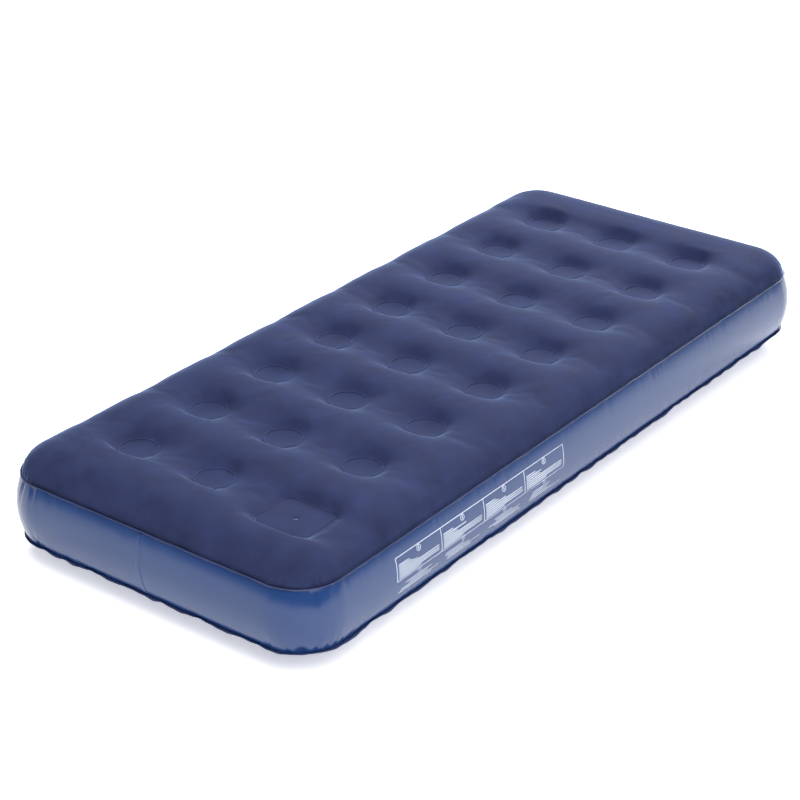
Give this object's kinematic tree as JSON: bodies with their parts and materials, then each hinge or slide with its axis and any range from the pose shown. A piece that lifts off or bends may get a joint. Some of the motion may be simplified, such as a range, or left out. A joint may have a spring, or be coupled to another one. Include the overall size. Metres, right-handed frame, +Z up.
{
  "type": "air mattress",
  "caption": "Single air bed, blown up: flocked top with round weld dimples, glossy vinyl side band, beams inside, foot pump in one corner, screw valve at the far end.",
  "frame": {"origin": "middle of the footprint, on the floor that the bed lies on", "axes": "+X along the bed towards the valve end, +Y across it, away from the printed side and the pump, +Z up"},
  "size_m": [1.7931, 0.7676, 0.224],
  "materials": {
    "flocked_top": "matte",
    "side_film": "gloss",
    "bottom_film": "satin",
    "beam_film": "satin",
    "pump_foam": "matte",
    "moulded_vinyl": "satin",
    "valve_plastic": "satin",
    "flap_vinyl": "satin",
    "gasket_rubber": "matte"
  },
  "bodies": {
    "mattress": {"top_sheet": "flocked_top", "bottom_sheet": "bottom_film", "side_wall": "side_film", "coil_beam_1A": "beam_film", "coil_beam_1B": "beam_film", "coil_beam_1C": "beam_film", "coil_beam_2A": "beam_film", "coil_beam_2B": "beam_film", "coil_beam_2C": "beam_film", "coil_beam_3A": "beam_film", "coil_beam_3B": "beam_film", "coil_beam_3C": "beam_film", "coil_beam_4A": "beam_film", "coil_beam_4B": "beam_film", "coil_beam_4C": "beam_film", "coil_beam_5A": "beam_film", "coil_beam_5B": "beam_film", "coil_beam_5C": "beam_film", "coil_beam_6A": "beam_film", "coil_beam_6B": "beam_film", "coil_beam_6C": "beam_film", "coil_beam_7A": "beam_film", "coil_beam_7B": "beam_film", "coil_beam_7C": "beam_film", "coil_beam_8A": "beam_film", "coil_beam_8B": "beam_film", "pump_chamber": "beam_film", "pump_foam": "pump_foam", "outlet_seat": "moulded_vinyl", "valve_body": "moulded_vinyl"},
    "pump_tread": {"pump_tread": "flocked_top", "pump_inlet": "moulded_vinyl"},
    "inlet_flap": {"inlet_flap": "flap_vinyl"},
    "outlet_flap": {"outlet_flap": "flap_vinyl"},
    "cap_gasket": {"cap_gasket": "gasket_rubber"},
    "valve_cap": {"valve_cap": "valve_plastic"},
    "stopper": {"stopper": "moulded_vinyl"},
    "check_flap": {"check_flap": "flap_vinyl"}
  },
  "joints": [
    {"name": "pump_press", "type": "slide", "parent": "mattress", "child": "pump_tread", "axis": [0, 0, -1], "range_m": [0, 0.04], "stiffness_N_per_m": 1500, "springref_m": -0.004, "deforming": ["pump_foam"]},
    {"name": "inlet_flap_swing", "type": "hinge", "parent": "pump_tread", "child": "inlet_flap", "pos_m": [-0.726, -0.212, 0.2005], "axis": [0, 1, 0], "range_deg": [0, 30], "stiffness_Nm_per_rad": 0.002, "springref_deg": -11.46},
    {"name": "outlet_flap_swing", "type": "hinge", "parent": "mattress", "child": "outlet_flap", "pos_m": [-0.6585, -0.212, 0.1845], "axis": [0, -1, 0], "range_deg": [0, 30], "stiffness_Nm_per_rad": 0.002, "springref_deg": -11.46},
    {"name": "cap_out", "type": "slide", "parent": "mattress", "child": "cap_gasket", "axis": [1, 0, 0], "range_m": [0, 0.012]},
    {"name": "cap_turn", "type": "hinge", "parent": "cap_gasket", "child": "valve_cap", "pos_m": [0.8909, 0.19, 0.108], "axis": [1, 0, 0], "range_deg": [0, 720]},
    {"name": "stopper_swing", "type": "hinge", "parent": "valve_cap", "child": "stopper", "pos_m": [0.8937, 0.19, 0.1344], "axis": [0, -1, 0], "range_deg": [0, 150]},
    {"name": "check_flap_swing", "type": "hinge", "parent": "valve_cap", "child": "check_flap", "pos_m": [0.8759, 0.19, 0.121], "axis": [0, 1, 0], "range_deg": [0, 35], "stiffness_Nm_per_rad": 0.002, "springref_deg": -11.46}
  ],
  "couplings": [
    {"joint": "cap_out", "follows": "cap_turn", "m_per_rad": 0.00095493}
  ]
}
